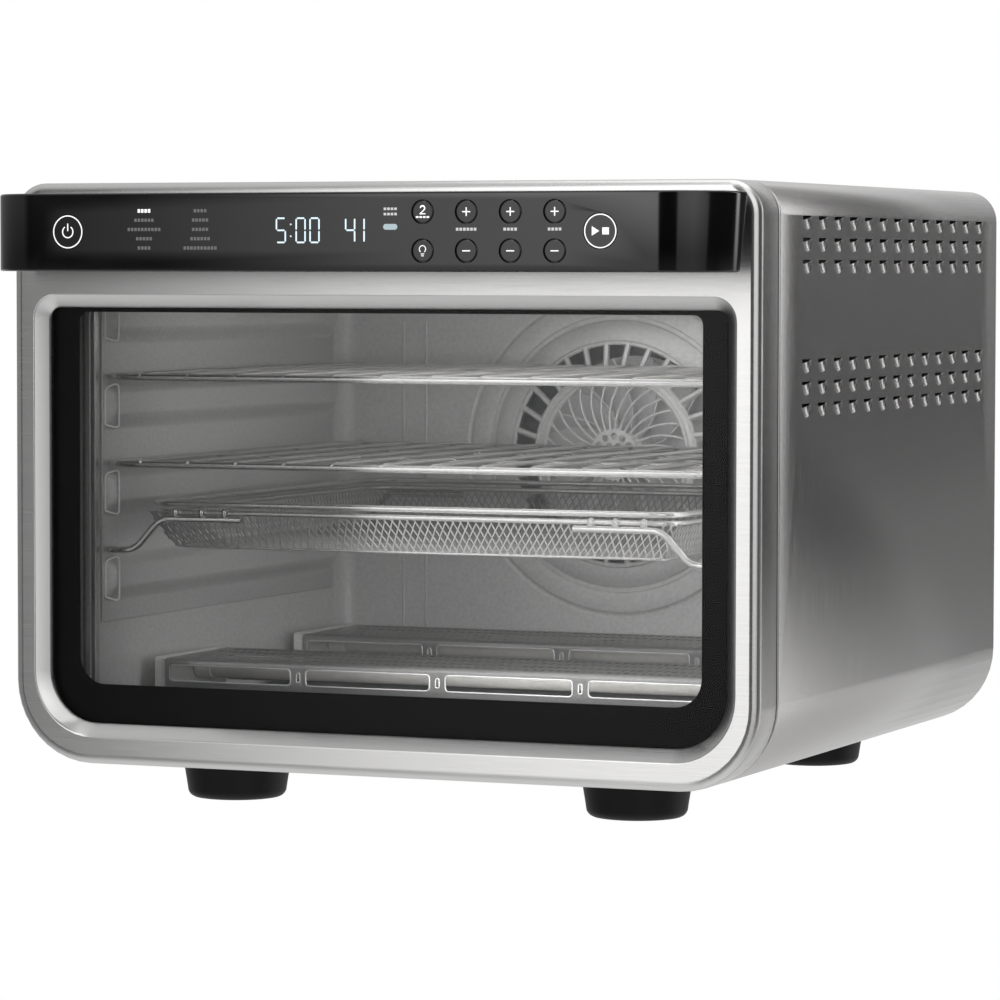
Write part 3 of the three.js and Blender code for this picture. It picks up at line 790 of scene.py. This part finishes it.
def make_fittings():
    low, high = span("crumb_tray")
    tray = Shape()
    levels = [(0, high.z), (0.6, low.z + 1.4), (1.6, low.z + 0.3), (3, low.z)]

    def outline(inset):
        return rounded(low.x + inset, high.x - inset, low.y + inset, high.y - inset, 5, 5, 4)

    tray.rings([[(x, y, z) for x, y in outline(inset)] for inset, z in levels], last_cap=True)
    make(tray, "tray_sheet", "oven", "zinc_steel", ["crumb_tray"])

    low, high = span("lamp_lens")
    lens = Shape()
    dome = [(4, low.z - 0.6), (10, low.z), (14, low.z + 2), (17, low.z + 4.5), (17, high.z)]
    lens.lathe(dome, along_z(*centre("lamp_lens").xy))
    make(lens, "lamp_cover", "oven", "clear_glass", ["lamp_lens"])

    low, high = span("temperature_probe")
    probe = Shape()
    tip = [(1, low.x), (2.2, low.x + 1), (2.5, low.x + 3)]
    nut = [(2.5, 180), (4.5, 180.4), (4.5, 183), (2.5, 183.4)]
    probe.lathe([*tip, *nut, (2.5, high.x)], along_x(*centre("temperature_probe").yz))
    make(probe, "probe_rod", "oven", "chrome_wire", ["temperature_probe"])


# --- Racks and basket ---

def make_racks():
    for name in ("upper", "middle"):
        low, high = span(f"wire_rack_{name}")
        middle = (low.z + high.z) / 2
        rod, wire = 2.1, 1.35
        rack = Shape()
        x0, x1, y0, y1 = low.x + rod, high.x - rod, low.y + rod, high.y - rod
        rack.tube([(x, y, middle) for x, y in rounded(x0, x1, y0, y1, 9, 9, 6)], rod, 12, True)
        pitch, count = 29.1, 12
        top, end = middle + rod - 0.4, middle + 0.8
        weld = [(0.5, middle + 2.2), (1.9, middle + 1.9), (2.3, middle + 0.6)]
        for i in range(count):
            x = (i - (count - 1) / 2) * pitch
            path = [(x, y0 - 0.6, end), (x, y0 + 5, top), (x, y1 - 5, top), (x, y1 + 0.6, end)]
            rack.tube(fillet(path, 2.2, 3), wire, 8)
            for y in (y0, y1):
                rack.lathe(weld, along_z(x, y), 8)
        for share in (0.33, 0.67):
            y = y0 + (y1 - y0) * share
            rack.tube([(x0, y, middle), (x1, y, middle)], wire, 8)
        make(rack, f"rack_wires_{name}", f"rack_{name}", "chrome_wire", [f"wire_rack_{name}"], 60)


DIAMOND = (4.56, 7.8)  # width and height of one opening in the basket's mesh
SHORTEST = 0.02  # the least share of a strand that is kept where the sheet's edge cuts it


def add_mesh(shape, length, height, place):
    """Crossed strands over a length by height sheet; place turns a point on it into a 3-D point."""
    width, tall = DIAMOND
    lean = height * width / tall
    count = int((length + lean) / width) + 1
    for i in range(count):
        left = -lean + i * width
        for start, end in ((left, left + lean), (left + lean, left)):
            first, last = sorted(max(0, min(1, (edge - start) / (end - start))) for edge in (0, length))
            if last - first >= SHORTEST:
                path = [place(start + (end - start) * t, height * t) for t in (first, last)]
                shape.tube(path, 0.42, 4)


def make_basket():
    low, high = span("air_fry_basket")
    half, lean = 158, 11
    front, back = low.y, high.y
    top, bottom = high.z - 1, 140.8
    basket = Shape()
    for height, rod in ((top, 1.7), (top - 4.6, 1.5)):
        inset = 1.8 + (top - height) * 0.1
        loop = rounded(-half + inset, half - inset, front + inset, back - inset, 16, 16, 6)
        basket.tube([(x, y, height) for x, y in loop], rod, 10, True)
    drop = top - 4.6 - bottom
    width, length = 2 * half, back - front

    def slide(v):
        return 2 + lean * (1 - v / drop)

    def along(u, v, size):
        """A place along a side that is drawn in towards the basket's bottom."""
        return u + (1 - 2 * u / size) * slide(v)

    sides = (
        (width, lambda u, v: (-half + along(u, v, width), front + slide(v), bottom + v)),
        (width, lambda u, v: (-half + along(u, v, width), back - slide(v), bottom + v)),
        (length, lambda u, v: (-half + slide(v), front + along(u, v, length), bottom + v)),
        (length, lambda u, v: (half - slide(v), front + along(u, v, length), bottom + v)),
    )

    strands = Shape()
    for size, place in sides:
        add_mesh(strands, size, drop, place)
    inset = lean + 2
    x0, y0 = -half + inset, front + inset
    add_mesh(strands, width - 2 * inset, length - 2 * inset, lambda u, v: (x0 + u, y0 + v, bottom))
    make(strands, "basket_mesh", "basket", "chrome_wire", material=MESH_WIRE)
    edge = rounded(-half + inset, half - inset, front + inset, back - inset, 8, 8, 5)
    basket.tube([(x, y, bottom) for x, y in edge], 0.7, 6, True)

    shelf = low.z + 2.1
    for y in (front + 1, back - 1):
        for side in (-1, 1):
            hook = y + (12 if y < 100 else -12)
            path = [(side * 182.4, hook, shelf), (side * 181, y, shelf), (side * 164, y, shelf + 0.6)]
            path += [(side * 148, y, top - 8.4), (side * 98, y, top - 8.2)]
            basket.tube(fillet(path, 6, 5), 1.9, 10)
    clip = [(0.6, top - 8), (2.2, top - 6.5), (2.2, top - 3.5), (0.6, top - 2)]
    for side in (-1, 1):
        for x in (108, 122, 138):
            basket.lathe(clip, along_z(side * x, front + 0.9), 8)
    make(basket, "basket_wires", "basket", "chrome_wire", ["air_fry_basket"], 60)


# --- Door ---

GLASS_LOW, GLASS_HIGH = span("door_glass_outer")
GLASS_GROW = 2.2  # how far the glass runs behind the steel lip
LIP_DEPTH = GLASS_LOW.y - 0.3
CHAMFER = 6.6
WINDOW = (-181.8, 181.8, 66.7, 270.8, 5, 15)  # x, z and the corners' radii above and below
DOOR_EDGE = 5.2  # radius of the fold between the rim and the front
PANE_GROW = 1.5
HINGE_X = centre("hinge_bracket_right").x
SLOT_HALF = 6.5  # the rim has a slot at each hinge bracket, so that the door can swing down over it
SLOT_DEPTH = 10


def glass_outline(grow):
    return inside(GLASS_LOW, GLASS_HIGH, GLASS_GROW - grow, 6 + grow, 28 + grow, BODY_STEPS)


def make_door():
    back = DOOR_HIGH.y
    edge = edge_steps(DOOR_EDGE, 8)
    hem = [(1.2, back - 1), (0.8, back), (0.2, back - 0.2), (0, back - 0.8), (0, SLOT_DEPTH)]
    rear = stack(body_outline, hem)
    rim = Shape()
    rim.rings(rear, skip={len(rear[0]) - 1})
    end = rear[0][0][0]
    cuts = [-end, *(side * HINGE_X + step for side in (-1, 1) for step in (-SLOT_HALF, SLOT_HALF)), end]
    for x0, x1 in zip(cuts[::2], cuts[1::2]):
        strip = [[(x, depth, DOOR_LOW.z + inset) for x in (x0, x1)] for inset, depth in hem]
        rim.rings(strip, closed=False)
    rim.rings(stack(body_outline, [(0, SLOT_DEPTH), *edge[:3]]))
    make(rim, "door_rim", "door", "brushed_steel", material=SIDE_STEEL)

    fold = CHAMFER + 0.6
    bevel = [(fold + 0.5, 0), (fold, 0), (CHAMFER + 0.3, 0.15), (CHAMFER - 0.5, 0.7), (1.1, LIP_DEPTH - 1.4)]
    lip = [(0.45, LIP_DEPTH - 0.6), (0.1, LIP_DEPTH - 0.1), (0, LIP_DEPTH + 0.25)]
    skin = Shape()
    front = stack(body_outline, [*edge[2:], (DOOR_EDGE + 0.4, 0)])
    skin.rings([*front, *stack(glass_outline, [*bevel, *lip])])
    make(skin, "door_skin", "door", "brushed_steel", ["door_frame"], 30)

    pane = Shape()
    front, back = GLASS_LOW.y, GLASS_HIGH.y
    pane.rings(stack(glass_outline, [(PANE_GROW, front), (PANE_GROW, back)]), True, True)
    make(pane, "door_pane_outer", "door", "black_glass", ["door_glass_outer"])

    frit = Shape()
    frit.panel(glass_outline(PANE_GROW), [rounded(*WINDOW)], back + 0.05, 0.3)
    make(frit, "door_glass_border", "door", "black_gloss", material=FRIT)

    low, high = span("door_glass_inner")
    inner = Shape()
    inner.rings([at_depth(inside(low, high, 0, 4, 4, 3), y) for y in (low.y, high.y)], True, True)
    make(inner, "door_pane_inner", "door", "clear_glass", ["door_glass_inner"], material=INNER_GLASS)

    low, high = span("door_inner_frame")

    def mouth(grow):
        return rounded(-183.5 - grow, 183.5 + grow, 60 - grow, 274 + grow, 6, 6, BODY_STEPS)

    outside = stack(body_outline, [(1.5, low.y - 4), (1.5, high.y - 0.6), (2.2, high.y)])
    mouth_steps = [(2, high.y), (0.6, high.y - 0.3), (0, high.y - 1.2), (0, low.y - 1.5)]
    frame_back = Shape()
    frame_back.rings([*outside, *stack(mouth, mouth_steps)])
    make(frame_back, "door_back_sheet", "door", "liner_steel", ["door_inner_frame"])

    low, high = span("door_seal")
    seal = Shape()
    seal.tube(at_depth(inside(low, high, 2, 15, 15), (low.y + high.y) / 2), (high.y - low.y) / 2, 10, True)
    make(seal, "door_gasket", "door", "silicone", ["door_seal"], 60)


# --- Control bar ---

BAR_LOW, BAR_HIGH = span("control_bar_shell")
BAR_BACK_TOP = BAR_HIGH.y
BAR_BACK_BOTTOM = -15.5  # the bar's back leans in from here to BAR_BACK_TOP
END_LENGTH = 34.6
END_DEPTH = 36.5
END_STEPS = 14
BAR_EDGE = 1.3
BAR_BACK_EDGE = 3.5
KEYS = ["power", "start", *[f"{row}_{column}" for row in ("top", "bottom") for column in range(1, 5)]]
KEY_GAP = 0.4
KEY_STEPS = 36
MARK_DEPTH = BAR_LOW.y - 0.06


def key_centre(key):
    """A key's x and z, and its radius."""
    low, high = span(f"button_{key}")
    return (low.x + high.x) / 2, (low.z + high.z) / 2, (high.x - low.x) / 2


def bar_loop(inset, z):
    """The bar's outline at height z, seen from above and drawn in by inset."""
    slope = (BAR_BACK_TOP - BAR_BACK_BOTTOM) / (BAR_HIGH.z - BAR_LOW.z)
    back = BAR_BACK_BOTTOM + slope * (z - BAR_LOW.z) - inset
    x = BAR_HIGH.x - END_LENGTH
    middle = BAR_LOW.y + END_DEPTH
    width, depth = END_LENGTH - inset, END_DEPTH - inset
    edge = BAR_BACK_EDGE
    last = degrees(asin(max(-1, min(0, (back - edge - middle) / depth))))
    right = arc(x, middle, width, depth, 270, 360 + last, END_STEPS)
    side = right[-1][0]
    right += arc(side - edge, back - edge, edge, edge, 0, 90, 5)
    left = [(-px, py) for px, py in reversed(right)]
    return [(px, py, z) for px, py in (*left, *right)]


def make_bar():
    bar = Shape()
    edge = edge_steps(BAR_EDGE)
    levels = [(inset, BAR_LOW.z + rise) for inset, rise in reversed(edge)]
    levels += [(inset, BAR_HIGH.z - drop) for inset, drop in edge]
    loops = [bar_loop(inset, z) for inset, z in levels]
    half = len(edge)
    flat_front = END_STEPS + 6
    bar.rings(loops[:half], first_cap=True)
    bar.rings(loops[half - 1 : half + 1], skip={flat_front})
    bar.rings(loops[half:], last_cap=True)
    x = BAR_HIGH.x - END_LENGTH
    z0, z1 = levels[half - 1][1], levels[half][1]
    centres = [key_centre(key) for key in KEYS]
    holes = [circle(cx, cz, radius + KEY_GAP, KEY_STEPS) for cx, cz, radius in centres]
    bar.plate([(-x, z0), (x, z0), (x, z1), (-x, z1)], holes, flat(BAR_LOW.y))
    well = ((KEY_GAP, 0), (0.35, 0.25), (0.35, 3.4), (-1.5, 3.4))
    for cx, cz, radius in centres:
        edges = [(circle(cx, cz, radius + more, KEY_STEPS), BAR_LOW.y + sink) for more, sink in well]
        bar.rings([at_depth(edge, depth) for edge, depth in edges], last_cap=True)
    make(bar, "bar_body", "door", "black_gloss", ["control_bar_shell", "control_bar_back"], 30)

    for name in ("left", "right"):
        low, high = span(f"bar_post_{name}")
        post = Shape()
        post.block((low.x, low.y - 2, low.z), (high.x, high.y + 0.2, high.z), 2, 4)
        make(post, f"bar_stand_{name}", "door", "black_gloss", [f"bar_post_{name}"])


def make_keys():
    edge = [(0.9, 0.1), (0.62, 0.1), (0.5, 0.12), (0.15, 0.3), (0, 0.8), (0, 5)]
    for key in KEYS:
        x, z, radius = key_centre(key)
        front = span(f"button_{key}")[0].y
        cap = Shape()
        cap.lathe([(radius - inset, front + depth) for inset, depth in edge], along_y(x, z))
        make(cap, f"key_cap_{key}", f"key_{key}", "black_gloss", [f"button_{key}"])


def mark(outlines, name, material, body="door"):
    """Thin glowing marks just proud of the bar's face: each outline is a list of (x, z) points. The
    display's marks are lit; on printed symbols and labels the glow is painted light.
    """
    shape = Shape()
    for outline in outlines:
        shape.rings([at_depth(outline, MARK_DEPTH), at_depth(outline, MARK_DEPTH + 0.2)], True, True)
    make(shape, name, body, "black_gloss", material=material)


def bar_shape(x, z, width, height):
    x0, x1, z0, z1 = x - width / 2, x + width / 2, z - height / 2, z + height / 2
    return [(x0, z0), (x1, z0), (x1, z1), (x0, z1)]


def ring_mark(x, z, radius, width, start=0, end=360, steps=40):
    """A ring or part of one, as short quadrilaterals side by side."""
    outer = arc(x, z, radius, radius, start, end, steps)
    inner = arc(x, z, radius - width, radius - width, start, end, steps)
    return [[outer[i], outer[i + 1], inner[i + 1], inner[i]] for i in range(steps)]


def stroke(points, width):
    """A line of one width along points, as one quadrilateral for each step."""
    found = []
    for start, end in zip(points, points[1:]):
        start, end = Vector(start), Vector(end)
        along = (end - start).normalized() * width / 2
        side = Vector((-along.y, along.x))
        start, end = start - along * 0.5, end + along * 0.5
        found.append([tuple(p) for p in (start - side, end - side, end + side, start + side)])
    return found


SEGMENTS = {"0": "abcdef", "1": "bc", "4": "fgbc", "5": "afgcd"}


def digit(character, x, z, width, height, weight):
    """A seven-segment digit with mitred ends."""
    gap = 0.25
    corners = {
        "a": (0, 2, 1, 2), "b": (1, 2, 1, 1), "c": (1, 1, 1, 0), "d": (0, 0, 1, 0),
        "e": (0, 1, 0, 0), "f": (0, 2, 0, 1), "g": (0, 1, 1, 1),
    }
    found = []
    for name in SEGMENTS[character]:
        a, b, c, d = corners[name]
        start = Vector((x + (a - 0.5) * width, z + (b - 1) * height / 2))
        end = Vector((x + (c - 0.5) * width, z + (d - 1) * height / 2))
        along = (end - start).normalized()
        side = Vector((-along.y, along.x)) * weight / 2
        start, end = start + along * gap, end - along * gap
        tip = along * weight / 2
        outline = (start, start + tip - side, end - tip - side, end, end - tip + side, start + tip + side)
        found.append([tuple(p) for p in outline])
    return found


def dashes(x, z, width, height=1.7):
    """A row of short dashes in place of a printed word, centred on x."""
    step = 2.0
    count = max(2, round(width / step))
    return [bar_shape(x + (i - (count - 1) / 2) * step, z, 1.45, height) for i in range(count)]


def make_marks():
    chosen = -111.8
    lists = {chosen: (9, 12, 20, 10, 8), -78.7: (9, 10, 10, 12, 19)}
    top, pitch = 325, 4.9
    dim = []
    for x, widths in lists.items():
        for row, width in enumerate(widths):
            if (x, row) != (chosen, 0):
                dim += dashes(x, top - row * pitch, width)
    mark(dim, "function_list", DIM_MARK)
    mark(dashes(chosen, top, 9, 1.9), "function_chosen", WHITE_LIT_AND_PAINTED_GLOW)

    middle = 314.6
    lit = []
    for character, x in (("5", -31.6), ("0", -20.2), ("0", -12.2), ("4", 8.2), ("1", 13.6)):
        lit += digit(character, x, middle, 5.1, 12.6, 0.85)
    lit += [bar_shape(-25.9, middle + 3.1, 0.8, 0.8), bar_shape(-25.9, middle - 3.1, 0.8, 0.8)]
    mark(lit, "display_digits", BLUE_MARK)
    mark([rounded(27, 35, middle + 0.2, middle + 3.2, 1.4, 1.4, 4)], "display_lamp", PILL_MARK)

    # Grey labels by the display lamp and under the keys; over the key labels' print the glow is painted
    # light.
    labels = [*dashes(31, 325.6, 7, 1.3), *dashes(31, 322.9, 8, 1.3)]
    for column, width in ((2, 13), (3, 9), (4, 9)):
        labels += dashes(key_centre(f"top_{column}")[0], middle + 0.4, width, 1.5)
    mark(labels, "key_labels", GREY_LIT_AND_PAINTED_GLOW)

    # The keys' printed symbols glow: painted light over white print.
    line = 0.6
    x, z, _ = key_centre("power")
    power = ring_mark(x, z, 8.8, line) + ring_mark(x, z, 3.4, line, 125, 415)
    power.append(bar_shape(x, z + 2.4, line, 4.0))
    mark(power, "power_symbol", WHITE_LIT_AND_PAINTED_GLOW, "key_power")
    x, z, _ = key_centre("start")
    triangle = [(x - 4.6, z - 2.4), (x - 0.6, z), (x - 4.6, z + 2.4)]
    start = [*ring_mark(x, z, 8.8, line), triangle, bar_shape(x + 2.9, z, 3.6, 3.6)]
    mark(start, "start_symbol", WHITE_LIT_AND_PAINTED_GLOW, "key_start")
    for column in range(1, 5):
        for row in ("top", "bottom"):
            x, z, _ = key_centre(f"{row}_{column}")
            if column > 1:
                symbol = [bar_shape(x, z, 4.4, 0.62)]
                if row == "top":
                    symbol += [bar_shape(x, z + rise, 0.62, 1.9) for rise in (1.26, -1.26)]
            elif row == "top":
                curl = arc(x, z + 1.9, 1.25, 1.25, 170, -35, 8)
                symbol = stroke([*curl, (x - 1.3, z - 1), (x + 1.5, z - 1)], 0.55)
                symbol += dashes(x, z - 2.7, 7, 0.9)
            else:
                symbol = ring_mark(x, z + 0.9, 2, 0.45, -55, 235, 20)
                symbol += [bar_shape(x, z - 1.6, 1.9, 0.45), bar_shape(x, z - 2.6, 1.4, 0.45)]
            mark(symbol, f"symbol_{row}_{column}", WHITE_LIT_AND_PAINTED_GLOW, f"key_{row}_{column}")


make_housing()
make_back()
make_feet()
make_screws()
make_cavity()
make_rack_supports()
make_fan()
make_guards()
make_tubes()
make_fittings()
make_racks()
make_basket()
make_door()
make_bar()
make_keys()
make_marks()


# --- Stage ---

def add_softbox(name, place, target, width, height, power):
    data = bpy.data.lights.new(name, "AREA")
    data.shape = "RECTANGLE"
    data.size, data.size_y = width, height
    data.energy = power
    light = add_object(name, data)
    aim = Vector(target) - Vector(place)
    light.location = place
    light.rotation_euler = aim.to_track_quat("-Z", "Y").to_euler()
    return light


def ramp_of(source, output, stops, low, high):
    """A brightness ramp over a value: stops are (position between low and high, brightness)."""
    tree = source.id_data
    rescale = add_node(tree, "ShaderNodeMapRange", From_Min=low, From_Max=high)
    ramp = add_node(tree, "ShaderNodeValToRGB")
    while len(ramp.color_ramp.elements) < len(stops):
        ramp.color_ramp.elements.new(0.5)
    for element, (position, level) in zip(ramp.color_ramp.elements, stops):
        element.position = (position - low) / (high - low)
        element.color = (level, level, level, 1)
    link(source, output, rescale, "Value")
    link(rescale, "Result", ramp, "Fac")
    return ramp.outputs["Color"]


# The places of the Mix node's colour sockets.
MIX_FIRST = 6
MIX_SECOND = 7
MIX_RESULT = 2


def combine(kind, first, second):
    tree = first.id_data
    node = add_node(tree, "ShaderNodeMix", Factor=1)
    node.data_type = "RGBA"
    node.blend_type = kind
    tree.links.new(first, node.inputs[MIX_FIRST])
    tree.links.new(second, node.inputs[MIX_SECOND])
    return node.outputs[MIX_RESULT]


# Brightness round the horizon, by the angle in degrees from straight in front of the oven to its right.
CARDS = [
    (-180, 0.6), (-140, 0.5), (-120, 0.28), (-50, 0.28), (-38, 0.05), (-29.5, 0.06), (-27.5, 0.5),
    (-25.5, 1.2), (-23, 1.7), (-16, 1.85), (-15, 0.02), (15, 0.02), (17, 0.8), (45, 1.0), (69, 0.6),
    (71, 0.04), (127, 0.03), (129, 2.5), (135, 2.5), (137, 0.06), (150, 0.08), (170, 0.19), (176, 0.6),
    (180, 0.6),
]
FLOOR_SIDES = [(-180, 0.9), (-120, 0.9), (-90, 0.2), (0, 0.2), (90, 0.2), (120, 0.9), (180, 0.9)]

# Brightness by height, from -1 straight down to 1 straight up.
CARD_HEIGHT = [
    (-1, 0), (-0.5, 0.2), (-0.1, 0.45), (0.02, 0.9), (0.12, 1.3), (0.5, 1.3), (0.8, 0.5), (1, 0.4),
]
BELOW_AND_ABOVE = [(-1, 0.85), (-0.7, 0.6), (-0.4, 0.05), (-0.3, 0), (0.35, 0), (0.7, 0.4), (1, 0.7)]
FLOOR = [
    (-1, 0), (-0.7, 0.1), (-0.4, 0.6), (-0.25, 0.65), (-0.14, 0.6), (-0.1, 0.2), (-0.07, 0), (1, 0),
]


def make_world():
    world = bpy.data.worlds.new("studio")
    bpy.context.scene.world = world
    world.use_nodes = True
    tree = world.node_tree
    place = add_node(tree, "ShaderNodeTexCoord")
    split = add_node(tree, "ShaderNodeSeparateXYZ")
    ahead = add_node(tree, "ShaderNodeMath")
    ahead.operation = "MULTIPLY"
    ahead.inputs[1].default_value = -1
    angle = add_node(tree, "ShaderNodeMath")
    angle.operation = "ARCTAN2"
    link(place, "Generated", split, "Vector")
    link(split, "Y", ahead, 0)
    link(split, "X", angle, 0)
    link(ahead, "Value", angle, 1)
    turns = [[(radians(a), level) for a, level in stops] for stops in (CARDS, FLOOR_SIDES)]
    cards, floor_sides = [ramp_of(angle, "Value", stops, -pi, pi) for stops in turns]
    heights = (CARD_HEIGHT, FLOOR, BELOW_AND_ABOVE)
    card_levels, floor_levels, ends = [ramp_of(split, "Z", stops, -1, 1) for stops in heights]
    walls = combine("MULTIPLY", cards, card_levels)
    floor = combine("MULTIPLY", floor_sides, floor_levels)
    total = combine("ADD", combine("ADD", walls, floor), ends)
    studio = tree.nodes["Background"]
    tree.links.new(total, studio.inputs["Color"])
    seen = add_node(tree, "ShaderNodeBackground", Color=(1, 1, 1, 1))
    ray = add_node(tree, "ShaderNodeLightPath")
    mix = add_node(tree, "ShaderNodeMixShader")
    link(ray, "Is Camera Ray", mix, "Fac")
    link(studio, "Background", mix, 1)
    link(seen, "Background", mix, 2)
    link(mix, "Shader", tree.nodes["World Output"], "Surface")


def make_stage():
    make_world()
    add_softbox("top", (0.2, 0.1, 2.2), (0, 0, 0.17), 1.8, 1.6, 8)
    fan_z = FAN_Z * MM
    for name, (x, y, z), (aim_y, aim_z), size, power in (
        ("cavity_front", (0.075, 0.031, 0.17), (0.36, 0.17), (0.2, 0.2), 1.15),
        ("fan_chamber", (0, 0.366, fan_z), (0.4, fan_z), (0.2, 0.2), 0.06),
        ("cavity_roof", (0.08, 0.24, 0.266), (0.24, 0.1), (0.18, 0.2), 0.2),
    ):
        glow = add_softbox(name, (x, DOOR_Y + y, z), (x, DOOR_Y + aim_y, aim_z), *size, power)
        glow.visible_camera = False
        glow.visible_glossy = False
    bpy.context.scene.view_settings.view_transform = "Standard"


make_stage()
